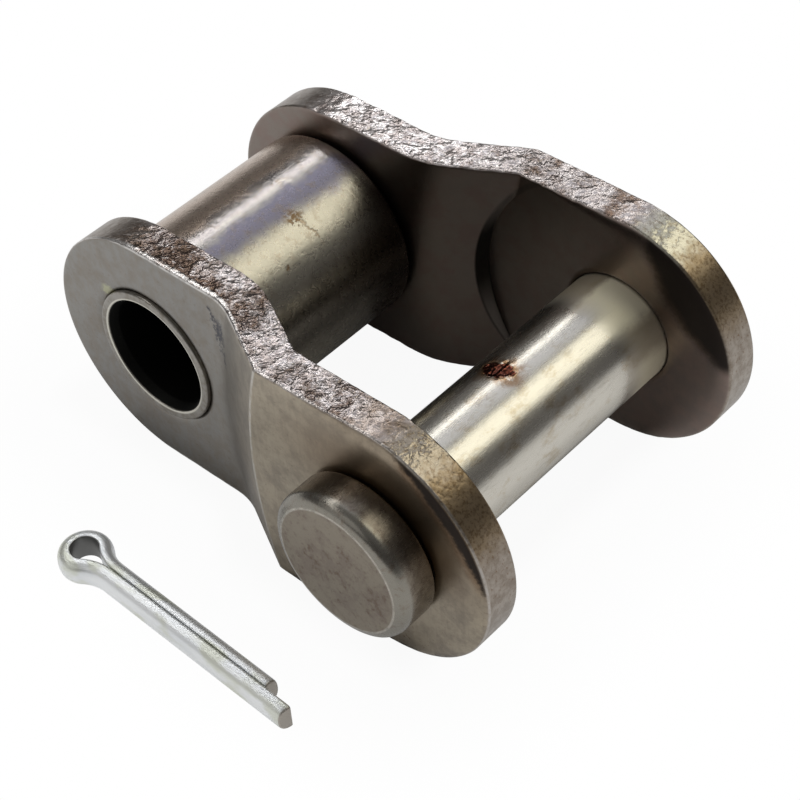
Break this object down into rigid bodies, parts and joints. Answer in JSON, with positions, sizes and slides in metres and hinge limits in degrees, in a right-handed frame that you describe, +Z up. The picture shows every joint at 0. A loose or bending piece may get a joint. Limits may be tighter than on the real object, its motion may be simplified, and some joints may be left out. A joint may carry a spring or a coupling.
{
  "type": "offset link",
  "caption": "Cranked roller-chain link with a bush and roller at its narrow end, a headed pin at its wide end and the drawn split pin.",
  "frame": {"origin": "centre of the bush bore, on the link's middle plane", "axes": "+X from the bush axis to the pin axis, +Y along both axes away from the pin's head, +Z up from the edges it stands on"},
  "size_m": [0.0691, 0.0707, 0.031],
  "materials": {
    "plate_steel": "satin rolled steel, sheared edges",
    "bush_steel": "ground steel",
    "roller_steel": "polished, heat tinted",
    "pin_steel": "polished, heat tinted",
    "cotter_zinc": "bright zinc plate"
  },
  "bodies": {
    "link": {"head_side_plate": "plate_steel", "cotter_side_plate": "plate_steel", "bush": "bush_steel", "cotter": "cotter_zinc"},
    "roller": {"roller": "roller_steel"},
    "pin": {"pin": "pin_steel"}
  },
  "joints": [
    {"name": "roller_spin", "type": "hinge", "parent": "link", "child": "roller", "pos_m": [0, 0, 0], "axis": [0, 1, 0], "continuous": true},
    {"name": "pin_draw", "type": "slide", "parent": "link", "child": "pin", "axis": [0, -1, 0], "range_m": [0, 0.049]}
  ]
}
